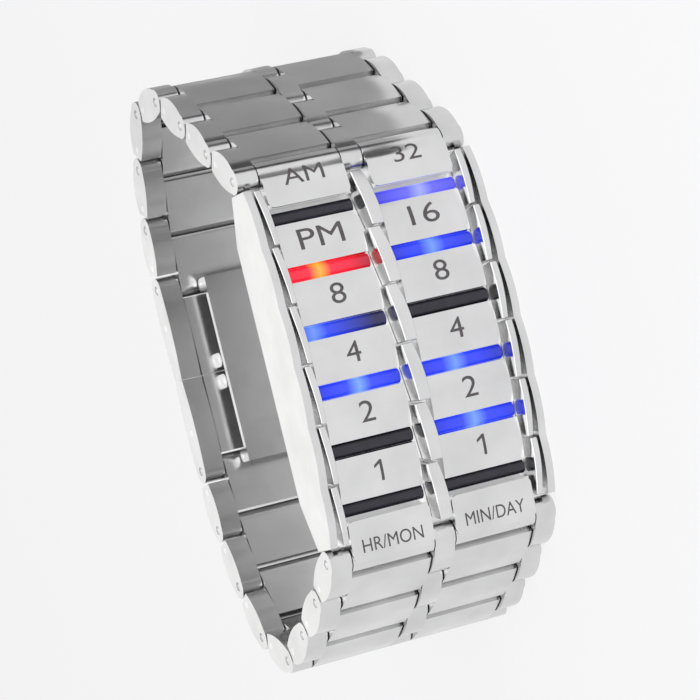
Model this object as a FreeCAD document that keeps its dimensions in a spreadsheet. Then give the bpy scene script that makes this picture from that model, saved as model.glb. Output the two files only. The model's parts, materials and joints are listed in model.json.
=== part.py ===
import FreeCAD, Part
import math
import os
import types
import Sketcher

os.makedirs("parts", exist_ok=True)

# Binary LED watch on a steel bracelet, lying on its 3 o'clock side.
# +X points to 12 o'clock, -Y is the face, +Z is the 9 o'clock side, millimetres.

# Driving dimensions. Angles are in degrees.
SIZES = {
    # widths, along Z
    "watch_width": 28.0,
    "side_link_width": 2.5,
    "link_side_gap": 0.125,
    "wall_thickness": 0.9,
    "wall_slit": 0.3,
    "rail_width": 1.1,
    # head
    "face_radius": 86.0,
    "row_pitch": 6.7,
    "plate_length": 4.9,
    "plate_thickness": 1.4,
    "plate_crown": 9.0,
    "rail_rise": 0.9,
    "rail_crown": 12.5,
    "rail_gap": 0.325,
    "bar_width": 1.65,
    "bar_recess": 0.5,
    "bar_depth": 1.5,
    "case_back": 7.3,
    "case_flat": 14.6,
    "case_half": 20.1,
    "case_end_back": 5.2,
    "cavity_front": 4.2,
    "cavity_half": 17.7,
    "cavity_margin": 2.0,
    "cover_thickness": 0.8,
    "cover_half": 18.6,
    "cover_margin": 1.2,
    "gasket_thickness": 0.2,
    "lug_reach": 21.7,
    "lug_depth": 3.9,
    # electronics
    "board_thickness": 0.6,
    "led_height": 0.4,
    "led_length": 1.6,
    "led_width": 0.8,
    "chip_length": 5.0,
    "chip_width": 3.0,
    "chip_height": 0.3,
    "chip_place": 15.4,
    "crystal_radius": 0.5,
    "crystal_length": 5.0,
    "holder_wall": 0.5,
    "holder_height": 1.5,
    "holder_half_width": 9.0,
    "cell_radius": 6.25,
    "cell_thickness": 1.6,
    "cell_spacing": 6.8,
    "strip_thickness": 0.1,
    "strip_width": 4.0,
    "screw_radius": 0.5,
    "screw_head_radius": 0.95,
    "screw_head": 0.35,
    "screw_length": 1.9,
    "boss_size": 2.8,
    "boss_reach": 14.6,
    # buttons
    "button_spacing": 6.7,
    "button_radius": 0.9,
    "button_reach": 3.0,
    "button_head": 0.8,
    "button_sink": 0.05,
    "button_stem": 0.55,
    "button_travel": 0.5,
    "button_depth": 2.85,
    "button_clearance": 0.04,
    "well_half": 1.5,
    "well_front": 1.85,
    "well_reach": 4.4,
    "clip_radius": 0.95,
    "clip_thickness": 0.2,
    "clip_play": 0.1,
    "leaf_thickness": 0.15,
    "leaf_width": 2.0,
    "leaf_gap": 0.1,
    # bracelet
    "link_pitch": 7.4,
    "link_half": 1.5,
    "link_crown": 14.0,
    "link_end_gap": 0.15,
    "side_end": 1.5,
    "side_tip": 1.2,
    "side_end_gap": 0.3,
    "side_crown": 5.8,
    "side_back_crown": 9.0,
    "end_block_crown": 40.0,
    "pin_radius": 0.55,
    "pin_clearance": 0.04,
    "fixed_pin_radius": 0.4,
    "fixed_pin_place": 4.7,
    "pin_recess": 0.25,
    # loop shape
    "upper_heading": 55.0,
    "upper_turn_2": -2.0,
    "upper_turn_3": 4.0,
    "upper_turn_4": 33.0,
    "upper_turn_5": 56.0,
    "upper_turn_6": 14.0,
    "upper_turn_7": 10.0,
    "lower_turn_2": 5.0,
    "lower_turn_3": 6.0,
    "lower_turn_4": 46.0,
    "lower_turn_5": 35.0,
    "lower_turn_6": 13.0,
    "lower_turn_7": 11.0,
    # clasp
    "end_block_length": 11.2,
    "end_block_gap": 0.1,
    "clasp_tip": 1.3,
    "clasp_drop": 2.5,
    "wing_length": 9.2,
    "wing_width": 15.0,
    "wing_thickness": 0.8,
    "knuckle_radius": 0.85,
    "clasp_pin_radius": 0.4,
    "clasp_pin_clearance": 0.04,
    "open_pivot_clearance": 0.2,
    "ear_width": 1.6,
    "ear_gap": 0.1,
    "base_thickness": 0.8,
    "base_drop": 1.0,
}

LINKS = 7
ROWS = 7
COLUMNS = 2

doc = FreeCAD.newDocument("watch")


class Size:
    """A size that carries its value and the sheet expression that gives it."""

    def __init__(self, text, value):
        self.text = text
        self.value = value

    def join(self, sign, other, value):
        return Size("(" + self.text + " " + sign + " " + as_size(other).text + ")", value)

    def __add__(self, other):
        return self.join("+", other, self.value + as_size(other).value)

    def __sub__(self, other):
        return self.join("-", other, self.value - as_size(other).value)

    def __mul__(self, other):
        return self.join("*", other, self.value * as_size(other).value)

    def __truediv__(self, other):
        return self.join("/", other, self.value / as_size(other).value)

    def __neg__(self):
        return Size("(0 - " + self.text + ")", -self.value)


def as_size(number):
    """A plain number as a Size."""
    if isinstance(number, Size):
        return number
    return Size(repr(float(number)), float(number))


def sine(size):
    """Sine of a Size in degrees."""
    return Size("sin(" + size.text + ")", math.sin(math.radians(size.value)))


def cosine(size):
    """Cosine of a Size in degrees."""
    return Size("cos(" + size.text + ")", math.cos(math.radians(size.value)))


def root(size):
    """Square root of a Size."""
    return Size("sqrt(" + size.text + ")", math.sqrt(size.value))


def make_sheet():
    """Write the driving dimensions into the sheet and return them as Sizes."""
    sheet = doc.addObject("Spreadsheet::Sheet", "sizes")
    names = types.SimpleNamespace()
    for row, (alias, value) in enumerate(SIZES.items(), start=1):
        sheet.set("A" + str(row), alias)
        sheet.set("B" + str(row), str(value))
        sheet.setAlias("B" + str(row), alias)
        setattr(names, alias, Size("sizes." + alias, value))
    doc.recompute()
    return names


S = make_sheet()
HALF_WIDTH = S.watch_width / 2
WIDE_WIDTH = (S.watch_width - S.side_link_width * 3 - S.link_side_gap * 4) / 2
WIDE_STEP = WIDE_WIDTH + S.side_link_width + S.link_side_gap * 2
SIDE_STEP = (S.watch_width - S.side_link_width) / 2
WIDE_START = -HALF_WIDTH + S.side_link_width + S.link_side_gap


# Sketch and feature helpers

def new_body(name):
    """A body whose features may leave several separate solids."""
    body = doc.addObject("PartDesign::Body", name)
    body.Label = name
    if hasattr(body, "AllowCompound"):
        body.AllowCompound = True
    return body


def origin_feature(body, role):
    """An origin plane or axis of this body."""
    return [item for item in body.Origin.OriginFeatures if item.Role == role][0]


def new_sketch(body, name, role="XY_Plane", offset=None):
    """A sketch on one of the body's own planes, moved along its normal."""
    sketch = body.newObject("Sketcher::SketchObject", name)
    sketch.AttachmentSupport = [(origin_feature(body, role), "")]
    sketch.MapMode = "FlatFace"
    if offset is not None:
        sketch.setExpression("AttachmentOffset.Base.z", offset.text)
    return sketch


def place_vertex(sketch, geometry, end, point):
    """Hold one vertex at its distances from the sketch's origin."""
    for kind, axis, size in (("DistanceX", -2, point[0]), ("DistanceY", -1, point[1])):
        size = as_size(size)
        if abs(size.value) < 1e-9:
            sketch.addConstraint(Sketcher.Constraint("PointOnObject", geometry, end, axis))
            continue
        index = sketch.addConstraint(Sketcher.Constraint(kind, -1, 1, geometry, end, size.value))
        sketch.setExpression("Constraints[" + str(index) + "]", size.text)


def arc_between(start, end, radius, turn):
    """The shorter arc from start to end; turn is 1 counter-clockwise, -1 clockwise."""
    chord = end - start
    middle = (start + end) * 0.5
    reach = math.sqrt(max(radius * radius - chord.Length * chord.Length / 4, 0.0))
    side = FreeCAD.Vector(-chord.y, chord.x, 0).normalize()
    centre = middle + side * reach * turn
    circle = Part.Circle(centre, FreeCAD.Vector(0, 0, 1), radius)
    first, last = (start, end) if turn > 0 else (end, start)
    angle_1 = math.atan2(first.y - centre.y, first.x - centre.x)
    angle_2 = math.atan2(last.y - centre.y, last.x - centre.x)
    return Part.ArcOfCircle(circle, angle_1, angle_2)


def outline(sketch, corners):
    """Close a wire through the corners.

    Each corner is (x, y) or (x, y, radius, turn): the last two make the edge
    that leaves it an arc.
    """
    points = [FreeCAD.Vector(as_size(c[0]).value, as_size(c[1]).value, 0) for c in corners]
    edges = []
    for number, corner in enumerate(corners):
        start = points[number]
        end = points[(number + 1) % len(points)]
        if len(corner) == 2:
            index = sketch.addGeometry(Part.LineSegment(start, end), False)
            edges.append((index, 1, 2))
            continue
        radius = as_size(corner[2])
        index = sketch.addGeometry(arc_between(start, end, radius.value, corner[3]), False)
        edges.append((index, 1, 2) if corner[3] > 0 else (index, 2, 1))
    for number, edge in enumerate(edges):
        following = edges[(number + 1) % len(edges)]
        sketch.addConstraint(Sketcher.Constraint("Coincident", edge[0], edge[2], following[0], following[1]))
    for edge, corner in zip(edges, corners):
        place_vertex(sketch, edge[0], edge[1], corner)
        if len(corner) > 2:
            radius = as_size(corner[2])
            index = sketch.addConstraint(Sketcher.Constraint("Radius", edge[0], radius.value))
            sketch.setExpression("Constraints[" + str(index) + "]", radius.text)


def circle(sketch, x, y, radius):
    """A circle at a place from the sketch's origin."""
    x, y, radius = as_size(x), as_size(y), as_size(radius)
    centre = FreeCAD.Vector(x.value, y.value, 0)
    geometry = sketch.addGeometry(Part.Circle(centre, FreeCAD.Vector(0, 0, 1), radius.value), False)
    place_vertex(sketch, geometry, 3, (x, y))
    index = sketch.addConstraint(Sketcher.Constraint("Radius", geometry, radius.value))
    sketch.setExpression("Constraints[" + str(index) + "]", radius.text)


def rectangle(sketch, x_low, x_high, y_low, y_high):
    """A rectangle between two X values and two Y values."""
    outline(sketch, [(x_low, y_low), (x_high, y_low), (x_high, y_high), (x_low, y_high)])


def extrude(body, kind, sketch, length, name):
    """A pad or pocket that grows along the sketch's normal."""
    feature = body.newObject("PartDesign::" + kind, name)
    feature.Profile = sketch
    feature.Reversed = kind == "Pocket"
    feature.setExpression("Length", as_size(length).text)
    return feature


def repeat(body, features, role, length, count, name):
    """A linear pattern along one of the body's axes, kept as its tip."""
    pattern = body.newObject("PartDesign::LinearPattern", name)
    pattern.Originals = features
    pattern.Direction = (origin_feature(body, role), [""])
    pattern.setExpression("Length", as_size(length).text)
    pattern.Occurrences = count
    body.Tip = pattern
    return pattern


def turn_copies(body, features, angle, count, name):
    """A polar pattern about the body's Z axis, kept as its tip."""
    pattern = body.newObject("PartDesign::PolarPattern", name)
    pattern.Originals = features
    pattern.Axis = (origin_feature(body, "Z_Axis"), [""])
    pattern.setExpression("Angle", as_size(angle).text)
    pattern.Occurrences = count
    body.Tip = pattern
    return pattern


def put(body, x, y, heading, flip=False):
    """Place a body whose own mid-plane lies at half the watch's width."""
    about_z = FreeCAD.Rotation(FreeCAD.Vector(0, 0, 1), heading)
    about_x = FreeCAD.Rotation(FreeCAD.Vector(1, 0, 0), 180 if flip else 0)
    body.Placement = FreeCAD.Placement(FreeCAD.Vector(x, y, HALF_WIDTH.value), about_z * about_x)


# Loop layout: hinge places and headings from the lugs round to the clasp

def step(point, length, heading):
    """The point at a length and heading from another."""
    angle = math.radians(heading)
    return (point[0] + length * math.cos(angle), point[1] + length * math.sin(angle))


def chain(start, headings):
    """The hinges of one half of the bracelet, from its lug."""
    hinges = [start]
    for heading in headings:
        hinges.append(step(hinges[-1], S.link_pitch.value, heading))
    return hinges


def running_sum(first, turns):
    """Headings from a first heading and the turns that follow it."""
    headings = [first]
    for turn in turns:
        headings.append(headings[-1] + turn)
    return headings


def loop_layout():
    """Both halves' hinges and headings; the lower half turns about its lug to close the loop."""
    upper_turns = [SIZES["upper_turn_" + str(n)] for n in range(2, LINKS + 1)]
    lower_turns = [SIZES["lower_turn_" + str(n)] for n in range(2, LINKS + 1)]
    upper_headings = running_sum(S.upper_heading.value, upper_turns)
    upper = chain((S.lug_reach.value, S.lug_depth.value), upper_headings)
    shape = chain((0.0, 0.0), running_sum(0.0, lower_turns))[-1]
    reach = math.hypot(shape[0], shape[1])
    lug = (-S.lug_reach.value, S.lug_depth.value)
    to_end = (upper[-1][0] - lug[0], upper[-1][1] - lug[1])
    span = math.hypot(to_end[0], to_end[1])
    blocks = 2 * S.end_block_length.value
    along = (reach * reach - blocks * blocks + span * span) / (2 * span)
    across = math.sqrt(reach * reach - along * along)
    unit = (to_end[0] / span, to_end[1] / span)
    end = (lug[0] + unit[0] * along - unit[1] * across, lug[1] + unit[1] * along + unit[0] * across)
    aim = math.degrees(math.atan2(end[1] - lug[1], end[0] - lug[0]))
    bend = math.degrees(math.atan2(shape[1], shape[0]))
    lower_headings = [aim + bend - turn for turn in running_sum(0.0, lower_turns)]
    lower = chain(lug, lower_headings)
    seam = math.degrees(math.atan2(end[1] - upper[-1][1], end[0] - upper[-1][0]))
    return upper, upper_headings + [seam], lower, lower_headings + [seam + 180]


UPPER, UPPER_HEADINGS, LOWER, LOWER_HEADINGS = loop_layout()

NODES = []


def keep(body):
    """Note a finished sub-part."""
    NODES.append(body)
    return body


# Face curve: rows lie on an arc about the wrist

def on_face(row, along, depth):
    """A point at a row position, moved along the face and inwards from it."""
    angle = S.row_pitch / S.face_radius * (180 / math.pi) * row
    reach = S.face_radius - depth
    x = reach * sine(angle) + cosine(angle) * along
    y = S.face_radius - reach * cosine(angle) + sine(angle) * along
    return (x, y)


def arc_depth(x, depth):
    """How far back the arc at a depth under the face lies at X."""
    reach = S.face_radius - depth
    return S.face_radius - root(reach * reach - x * x)


def scallops():
    """The scalloped front edge shared by the rails and the side walls."""
    last = (ROWS - 1) // 2
    points = []
    for row in range(-last, last):
        points.append(on_face(row, 0, -S.rail_rise) + (S.rail_crown, 1))
    points.append(on_face(last, 0, -S.rail_rise))
    return points


BACK_SLOPE = (S.case_back - S.case_end_back) / (S.case_half - S.case_flat)


def back_depth(x, inset):
    """How far back the tapered end of the case lies at X, less an inset."""
    return S.case_back - inset - BACK_SLOPE * (x - S.case_flat)


def column_start(column):
    """Where a column of wide pieces starts, along Z."""
    return WIDE_START + WIDE_STEP * column


def cylinder(body, kind, place, axis, radius, length, name):
    """A primitive cylinder that starts at a place and runs along an axis."""
    feature = body.newObject("PartDesign::" + kind + "Cylinder", name)
    feature.setExpression("Radius", as_size(radius).text)
    feature.setExpression("Height", as_size(length).text)
    turn = FreeCAD.Rotation(FreeCAD.Vector(0, 0, 1), FreeCAD.Vector(*axis))
    feature.Placement = FreeCAD.Placement(FreeCAD.Vector(0, 0, 0), turn)
    for letter, size in zip("xyz", place):
        feature.setExpression("Placement.Base." + letter, as_size(size).text)
    return feature


def slab(body, kind, box, name):
    """A rectangular pad or pocket between two X, two Y and two Z values."""
    x_low, x_high, y_low, y_high, z_low, z_high = [as_size(size) for size in box]
    sketch = new_sketch(body, name + "_sketch", offset=z_low)
    rectangle(sketch, x_low, x_high, y_low, y_high)
    return extrude(body, kind, sketch, z_high - z_low, name)


# Case

def case_core(body):
    """The block between the side walls."""
    inner = HALF_WIDTH - S.wall_thickness
    sketch = new_sketch(body, "core_sketch", offset=-inner)
    end_front = arc_depth(S.case_half, S.plate_thickness)
    outline(sketch, [
        (-S.case_half, end_front, S.face_radius - S.plate_thickness, 1),
        (S.case_half, end_front),
        (S.case_half, S.case_end_back),
        (S.case_flat, S.case_back),
        (-S.case_flat, S.case_back),
        (-S.case_half, S.case_end_back),
    ])
    extrude(body, "Pad", sketch, inner * 2, "core")


def case_walls(body):
    """Both side walls, with their scalloped front edge."""
    sketch = new_sketch(body, "wall_sketch", offset=-HALF_WIDTH)
    outline(sketch, scallops() + [
        (S.case_half, S.case_end_back),
        (S.case_flat, S.case_back),
        (-S.case_flat, S.case_back),
        (-S.case_half, S.case_end_back),
    ])
    wall = extrude(body, "Pad", sketch, S.wall_thickness, "wall")
    repeat(body, [wall], "Z_Axis", S.watch_width - S.wall_thickness, 2, "walls")


def case_lugs(body):
    """The end plates that carry the first hinge pins."""
    sketch = new_sketch(body, "lug_sketch", offset=WIDE_START)
    start = S.row_pitch * ((ROWS - 1) // 2) - S.plate_length / 2
    front = arc_depth(start, 0)
    low = S.lug_depth + S.link_half
    for side in (1, -1):
        corners = [
            (start * side, front),
            (S.lug_reach * side, S.lug_depth - S.link_half, S.link_half, side),
            ((S.lug_reach + S.link_half) * side, S.lug_depth, S.link_half, side),
            (S.lug_reach * side, low),
            (start * side, low),
        ]
        outline(sketch, corners)
        circle(sketch, S.lug_reach * side, S.lug_depth, S.pin_radius + S.pin_clearance)
    lug = extrude(body, "Pad", sketch, WIDE_WIDTH, "lug")
    repeat(body, [lug], "Z_Axis", WIDE_STEP, COLUMNS, "lugs")


def bar_rows():
    """The gaps between rows, where the light bars lie."""
    return [row - (ROWS - 2) / 2 for row in range(ROWS - 1)]


def case_slots(body):
    """The slots that the light bars stand in."""
    sketch = new_sketch(body, "slot_sketch", offset=WIDE_START)
    half = S.bar_width / 2
    for row in bar_rows():
        outline(sketch, [
            on_face(row, -half, 0),
            on_face(row, half, 0),
            on_face(row, half, S.cavity_front + half),
            on_face(row, -half, S.cavity_front + half),
        ])
    slot = extrude(body, "Pocket", sketch, WIDE_WIDTH, "slot")
    repeat(body, [slot], "Z_Axis", WIDE_STEP, COLUMNS, "slots")


CAVITY_WIDTH = HALF_WIDTH - S.cavity_margin
COVER_WIDTH = HALF_WIDTH - S.cover_margin
LEDGE = S.cover_thickness + S.gasket_thickness
BOARD_BACK = S.cavity_front + S.board_thickness
CELL_BACK = BOARD_BACK + S.cell_thickness
BOSS_MIDDLE = S.boss_reach - S.boss_size / 2
BOSS_ACROSS = CAVITY_WIDTH - S.boss_size / 2


def corner_places():
    """The four screw places, as X and Z."""
    return [(BOSS_MIDDLE * x, BOSS_ACROSS * z) for x in (1, -1) for z in (1, -1)]


def case_cavity(body):
    """The space for the electronics, the cover's recess and the screw bosses."""
    beyond = S.case_back + S.cover_thickness
    slab(body, "Pocket", (-S.cavity_half, S.cavity_half, S.cavity_front, beyond,
                          -CAVITY_WIDTH, CAVITY_WIDTH), "cavity")
    for number, side in enumerate((1, -1)):
        x_low = BOSS_MIDDLE * side - S.boss_size / 2
        slab(body, "Pad", (x_low, x_low + S.boss_size, BOARD_BACK, S.case_back - LEDGE,
                           CAVITY_WIDTH - S.boss_size, CAVITY_WIDTH), "boss_left_" + str(number))
        slab(body, "Pad", (x_low, x_low + S.boss_size, BOARD_BACK, S.case_back - LEDGE,
                           -CAVITY_WIDTH, -CAVITY_WIDTH + S.boss_size), "boss_right_" + str(number))
    sketch = new_sketch(body, "recess_sketch", offset=-COVER_WIDTH)
    end = back_depth(S.cover_half, LEDGE)
    flat = S.case_back - LEDGE
    outline(sketch, [
        (-S.cover_half, end),
        (-S.case_flat, flat),
        (S.case_flat, flat),
        (S.cover_half, end),
        (S.cover_half, beyond),
        (-S.cover_half, beyond),
    ])
    extrude(body, "Pocket", sketch, COVER_WIDTH * 2, "recess")
    for number, (x, z) in enumerate(corner_places()):
        cylinder(body, "Subtractive", (x, BOARD_BACK, z), (0, 1, 0), S.screw_radius,
                 S.cover_thickness * 3, "screw_bore_" + str(number))


def button_places():
    """The two buttons' places along X."""
    return [S.button_spacing, -S.button_spacing]


def case_buttons(body):
    """Bores for the buttons and the wells behind them."""
    outer = -HALF_WIDTH
    inner = outer + S.well_reach
    for number, x in enumerate(button_places()):
        sink = S.button_head + S.button_sink + S.button_travel
        cylinder(body, "Subtractive", (x, S.button_depth, outer), (0, 0, 1),
                 S.button_radius + S.button_clearance, sink, "head_bore_" + str(number))
        cylinder(body, "Subtractive", (x, S.button_depth, outer), (0, 0, 1),
                 S.button_stem + S.button_clearance, S.button_reach, "stem_bore_" + str(number))
        slab(body, "Pocket", (x - S.well_half, x + S.well_half, S.well_front, BOARD_BACK,
                              -CAVITY_WIDTH, inner), "well_" + str(number))


def make_case():
    """The case body."""
    body = new_body("case_body")
    case_core(body)
    case_walls(body)
    case_lugs(body)
    case_slots(body)
    case_cavity(body)
    case_buttons(body)
    put(body, 0, 0, 0)
    return keep(body)


# Face

def make_rail(name, start, width):
    """A scalloped rail beside the plates."""
    body = new_body(name)
    sketch = new_sketch(body, name + "_sketch", offset=start)
    last = (ROWS - 1) // 2
    back = S.face_radius - S.plate_thickness
    outline(sketch, scallops() + [
        on_face(last, 0, S.plate_thickness) + (back, -1),
        on_face(-last, 0, S.plate_thickness),
    ])
    extrude(body, "Pad", sketch, width, name + "_pad")
    put(body, 0, 0, 0)
    return keep(body)


def make_rails():
    """The three rails."""
    start = HALF_WIDTH - S.wall_thickness - S.wall_slit
    make_rail("rail_left", start - S.rail_width, S.rail_width)
    make_rail("rail_right", -start, S.rail_width)
    half = (S.side_link_width + S.link_side_gap * 2) / 2 - S.rail_gap
    make_rail("rail_centre", -half, half * 2)


def make_plates(name, column):
    """One column's five digit plates, each crowned along its length."""
    body = new_body(name)
    sketch = new_sketch(body, name + "_sketch", offset=column_start(column))
    half = S.plate_length / 2
    last = (ROWS - 3) // 2
    rim = S.plate_thickness / 4
    for row in range(-last, last + 1):
        outline(sketch, [
            on_face(row, -half, rim) + (S.plate_crown, 1),
            on_face(row, half, rim),
            on_face(row, half, S.plate_thickness) + (S.face_radius - S.plate_thickness, -1),
            on_face(row, -half, S.plate_thickness),
        ])
    extrude(body, "Pad", sketch, WIDE_WIDTH, name + "_pad")
    put(body, 0, 0, 0)
    return keep(body)


def make_bars(name, column):
    """One column's six half-round light bars."""
    body = new_body(name)
    sketch = new_sketch(body, name + "_sketch", offset=column_start(column))
    half = S.bar_width / 2
    back = S.bar_recess + S.bar_depth
    for row in bar_rows():
        outline(sketch, [
            on_face(row, 0, S.bar_recess) + (half, 1),
            on_face(row, half, S.bar_recess + half),
            on_face(row, half, back),
            on_face(row, -half, back),
            on_face(row, -half, S.bar_recess + half) + (half, 1),
        ])
    extrude(body, "Pad", sketch, WIDE_WIDTH, name + "_pad")
    put(body, 0, 0, 0)
    return keep(body)


# Inside the case

def make_leds(name, columns):
    """Lamps on the board, one behind the middle of each light bar."""
    body = new_body(name)
    half = S.led_width / 2
    for column, rows in columns:
        start = column_start(column) + (WIDE_WIDTH - S.led_length) / 2
        sketch = new_sketch(body, name + "_sketch_" + str(column), offset=start)
        for row in rows:
            x = on_face(row, 0, S.cavity_front / 2)[0]
            rectangle(sketch, x - half, x + half, S.cavity_front - S.led_height, S.cavity_front)
        extrude(body, "Pad", sketch, S.led_length, name + "_pad_" + str(column))
    put(body, 0, 0, 0)
    return keep(body)


def make_slab(name, box):
    """A sub-part that is one rectangular piece."""
    body = new_body(name)
    slab(body, "Pad", box, name + "_pad")
    put(body, 0, 0, 0)
    return keep(body)


def make_board():
    """The circuit board and what stands on its back."""
    edge = S.cavity_half - S.gasket_thickness
    make_slab("circuit_board", (-edge, edge, S.cavity_front, BOARD_BACK,
                                -CAVITY_WIDTH + S.gasket_thickness, CAVITY_WIDTH - S.gasket_thickness))
    half = S.chip_width / 2
    make_slab("control_chip", (S.chip_place - half, S.chip_place + half, BOARD_BACK,
                               BOARD_BACK + S.chip_height, -S.chip_length / 2, S.chip_length / 2))
    body = new_body("quartz_crystal")
    cylinder(body, "Additive", (-S.chip_place, BOARD_BACK + S.crystal_radius, -S.crystal_length / 2),
             (0, 0, 1), S.crystal_radius, S.crystal_length, "crystal")
    put(body, 0, 0, 0)
    keep(body)


def make_cells():
    """Two button cells, the frame round them and the strip that joins them."""
    body = new_body("cell_holder")
    reach = S.cell_spacing + S.cell_radius + S.holder_wall
    slab(body, "Pad", (-reach, reach, BOARD_BACK, BOARD_BACK + S.holder_height,
                       -S.holder_half_width, S.holder_half_width), "frame")
    for number, side in enumerate((1, -1)):
        cylinder(body, "Subtractive", (S.cell_spacing * side, BOARD_BACK, 0), (0, 1, 0),
                 S.cell_radius, S.cell_thickness, "seat_" + str(number))
    put(body, 0, 0, 0)
    keep(body)
    cells = new_body("button_cells")
    for number, side in enumerate((1, -1)):
        cylinder(cells, "Additive", (S.cell_spacing * side, BOARD_BACK, 0), (0, 1, 0),
                 S.cell_radius, S.cell_thickness, "cell_" + str(number))
    put(cells, 0, 0, 0)
    keep(cells)
    make_slab("cell_strip", (-S.cell_spacing, S.cell_spacing, CELL_BACK, CELL_BACK + S.strip_thickness,
                             -S.strip_width / 2, S.strip_width / 2))


def back_sheet(body, name, inset, thickness):
    """A sheet that follows the back's flat and tapered ends."""
    sketch = new_sketch(body, name + "_sketch", offset=-COVER_WIDTH)
    front = inset + thickness
    outline(sketch, [
        (-S.cover_half, back_depth(S.cover_half, front)),
        (-S.case_flat, S.case_back - front),
        (S.case_flat, S.case_back - front),
        (S.cover_half, back_depth(S.cover_half, front)),
        (S.cover_half, back_depth(S.cover_half, inset)),
        (S.case_flat, S.case_back - inset),
        (-S.case_flat, S.case_back - inset),
        (-S.cover_half, back_depth(S.cover_half, inset)),
    ])
    extrude(body, "Pad", sketch, COVER_WIDTH * 2, name + "_pad")


def make_back():
    """The gasket, the back cover and its screws."""
    gasket = new_body("case_gasket")
    back_sheet(gasket, "gasket", S.cover_thickness, S.gasket_thickness)
    slab(gasket, "Pocket", (-S.cavity_half, S.cavity_half, 0, S.case_back,
                            -CAVITY_WIDTH, CAVITY_WIDTH), "gasket_hole")
    put(gasket, 0, 0, 0)
    keep(gasket)
    cover = new_body("back_cover")
    back_sheet(cover, "cover", Size("0", 0.0), S.cover_thickness)
    screws = new_body("cover_screws")
    shank = S.case_back - S.screw_length
    head = S.case_back - S.screw_head
    for number, (x, z) in enumerate(corner_places()):
        cylinder(cover, "Subtractive", (x, shank, z), (0, 1, 0), S.screw_radius,
                 S.screw_length, "shank_hole_" + str(number))
        cylinder(cover, "Subtractive", (x, head, z), (0, 1, 0), S.screw_head_radius,
                 S.screw_head, "head_hole_" + str(number))
        cylinder(screws, "Additive", (x, shank, z), (0, 1, 0), S.screw_radius,
                 S.screw_length - S.screw_head, "shank_" + str(number))
        cylinder(screws, "Additive", (x, head, z), (0, 1, 0), S.screw_head_radius,
                 S.screw_head, "head_" + str(number))
    for body in (cover, screws):
        put(body, 0, 0, 0)
        keep(body)


def make_buttons():
    """Two plungers, their retaining clips and the leaves they press."""
    outer = -HALF_WIDTH + S.button_sink
    tip = -HALF_WIDTH + S.button_sink + S.button_reach
    leaves = new_body("button_leaves")
    for number, (name, x) in enumerate(zip(("upper_button", "lower_button"), button_places())):
        body = new_body(name)
        cylinder(body, "Additive", (x, S.button_depth, outer), (0, 0, 1),
                 S.button_radius, S.button_head, name + "_head")
        cylinder(body, "Additive", (x, S.button_depth, outer), (0, 0, 1),
                 S.button_stem, S.button_reach, name + "_stem")
        put(body, 0, 0, 0)
        keep(body)
        clip = new_body(name + "_clip")
        clip_place = -CAVITY_WIDTH + S.clip_play
        cylinder(clip, "Additive", (x, S.button_depth, clip_place), (0, 0, 1),
                 S.clip_radius, S.clip_thickness, name + "_ring")
        cylinder(clip, "Subtractive", (x, S.button_depth, clip_place), (0, 0, 1),
                 S.button_stem, S.clip_thickness, name + "_ring_bore")
        put(clip, 0, 0, 0)
        keep(clip)
        leaf = tip + S.button_travel + S.leaf_gap
        slab(leaves, "Pad", (x - S.leaf_width / 2, x + S.leaf_width / 2, S.well_front + S.leaf_gap,
                             S.cavity_front, leaf, leaf + S.leaf_thickness), "leaf_" + str(number))
    put(leaves, 0, 0, 0)
    keep(leaves)


# Bracelet: in a link's own frame the hinge is the origin, +X leads away from the case, -Y is outward

def link_bores(sketch, far_hinge):
    """Bores through a wide block."""
    circle(sketch, S.fixed_pin_place, 0, S.fixed_pin_radius)
    if far_hinge:
        circle(sketch, S.link_pitch, 0, S.pin_radius + S.pin_clearance)


def side_profile(sketch, reach, crown, back_crown):
    """A side link: round at its hinge, arched outside and in, blunt at its far end."""
    outline(sketch, [
        (-S.side_end, 0, S.side_end, 1),
        (0, -S.side_end, crown, 1),
        (reach, -S.side_tip),
        (reach, S.side_tip, back_crown, 1),
        (0, S.side_end, S.side_end, 1),
    ])
    circle(sketch, 0, 0, S.pin_radius)
    circle(sketch, S.fixed_pin_place, 0, S.fixed_pin_radius)


def make_link(name, point, heading, flip):
    """Two wide blocks and three side links that move as one row."""
    body = new_body(name)
    front = S.link_half + S.link_end_gap
    half = S.link_half
    wide = new_sketch(body, name + "_wide_sketch", offset=WIDE_START)
    outline(wide, [
        (front, -half, S.link_crown, 1),
        (S.link_pitch, -half, half, 1),
        (S.link_pitch + half, 0, half, 1),
        (S.link_pitch, half),
        (front, half),
    ])
    link_bores(wide, True)
    block = extrude(body, "Pad", wide, WIDE_WIDTH, name + "_wide")
    repeat(body, [block], "Z_Axis", WIDE_STEP, COLUMNS, name + "_wides")
    side = new_sketch(body, name + "_side_sketch", offset=-HALF_WIDTH)
    side_profile(side, S.link_pitch - S.side_end - S.side_end_gap, S.side_crown, S.side_back_crown)
    link = extrude(body, "Pad", side, S.side_link_width, name + "_side")
    repeat(body, [link], "Z_Axis", SIDE_STEP * 2, COLUMNS + 1, name + "_sides")
    put(body, point[0], point[1], heading, flip)
    return keep(body)


def make_link_pins(name, point, heading, flip, clasp_pin=False):
    """A row's hinge pin and the pin that holds its pieces together."""
    body = new_body(name)
    length = S.watch_width - S.pin_recess * 2
    cylinder(body, "Additive", (0, 0, -length / 2), (0, 0, 1), S.pin_radius, length, name + "_hinge")
    cylinder(body, "Additive", (S.fixed_pin_place, 0, -HALF_WIDTH), (0, 0, 1), S.fixed_pin_radius,
             S.watch_width, name + "_fixed")
    if clasp_pin:
        reach = EAR_OUTER
        cylinder(body, "Additive", (S.end_block_length - S.clasp_tip, S.clasp_drop, -reach), (0, 0, 1),
                 S.clasp_pin_radius, reach * 2, name + "_clasp")
    put(body, point[0], point[1], heading, flip)
    return keep(body)


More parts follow.
